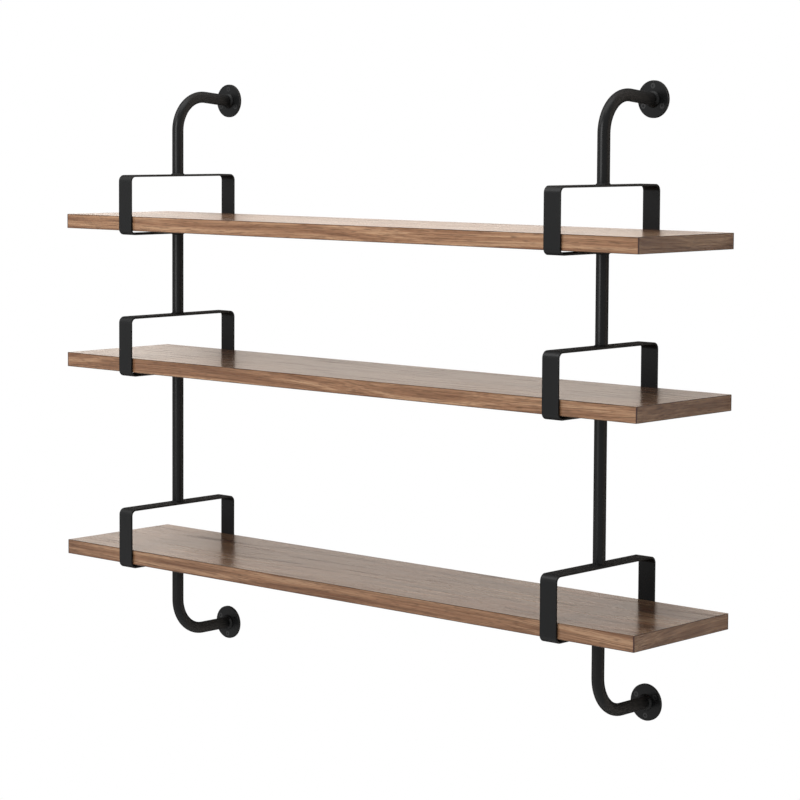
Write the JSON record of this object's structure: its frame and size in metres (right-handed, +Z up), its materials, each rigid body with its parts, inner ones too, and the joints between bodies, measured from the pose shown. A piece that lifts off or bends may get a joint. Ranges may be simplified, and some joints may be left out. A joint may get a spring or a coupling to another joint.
{
  "type": "wall shelving unit",
  "caption": "Wall-hung shelving unit: walnut shelves carried in flat-bar loops on round-tube steel uprights that bend to round wall flanges.",
  "frame": {"origin": "centre of the upper left wall flange, on the wall plane", "axes": "+X along the wall to the right as seen from the room, +Y into the wall, +Z up"},
  "size_m": [1.2, 0.2775, 0.961],
  "materials": {
    "walnut_veneer": "satin lacquer, straight grain along the shelf",
    "walnut_lipping": "satin lacquer, grain along the strip",
    "shelf_core": "raw board, covered on every side",
    "black_powder_coat": "satin black powder coat",
    "black_screw": "black oxide",
    "black_rubber": "matt"
  },
  "bodies": {
    "root": {"upper_shelf_core": "shelf_core", "upper_shelf_top_veneer": "walnut_veneer", "upper_shelf_bottom_veneer": "walnut_veneer", "upper_shelf_front_lipping": "walnut_lipping", "upper_shelf_right_lipping": "walnut_lipping", "upper_shelf_back_lipping": "walnut_lipping", "upper_shelf_left_lipping": "walnut_lipping", "upper_shelf_screws": "black_screw", "upper_shelf_spacers": "black_rubber", "middle_shelf_core": "shelf_core", "middle_shelf_top_veneer": "walnut_veneer", "middle_shelf_bottom_veneer": "walnut_veneer", "middle_shelf_front_lipping": "walnut_lipping", "middle_shelf_right_lipping": "walnut_lipping", "middle_shelf_back_lipping": "walnut_lipping", "middle_shelf_left_lipping": "walnut_lipping", "middle_shelf_screws": "black_screw", "middle_shelf_spacers": "black_rubber", "lower_shelf_core": "shelf_core", "lower_shelf_top_veneer": "walnut_veneer", "lower_shelf_bottom_veneer": "walnut_veneer", "lower_shelf_front_lipping": "walnut_lipping", "lower_shelf_right_lipping": "walnut_lipping", "lower_shelf_back_lipping": "walnut_lipping", "lower_shelf_left_lipping": "walnut_lipping", "lower_shelf_screws": "black_screw", "lower_shelf_spacers": "black_rubber", "left_upper_loop": "black_powder_coat", "left_middle_loop": "black_powder_coat", "left_lower_loop": "black_powder_coat", "left_upper_tube": "black_powder_coat", "left_lower_tube": "black_powder_coat", "left_upper_arm": "black_powder_coat", "left_lower_arm": "black_powder_coat", "left_upper_flange": "black_powder_coat", "left_lower_flange": "black_powder_coat", "left_upright_welds": "black_powder_coat", "left_upper_wall_screws": "black_screw", "left_lower_wall_screws": "black_screw", "right_upper_loop": "black_powder_coat", "right_middle_loop": "black_powder_coat", "right_lower_loop": "black_powder_coat", "right_upper_tube": "black_powder_coat", "right_lower_tube": "black_powder_coat", "right_upper_arm": "black_powder_coat", "right_lower_arm": "black_powder_coat", "right_upper_flange": "black_powder_coat", "right_lower_flange": "black_powder_coat", "right_upright_welds": "black_powder_coat", "right_upper_wall_screws": "black_screw", "right_lower_wall_screws": "black_screw"}
  },
  "joints": []
}
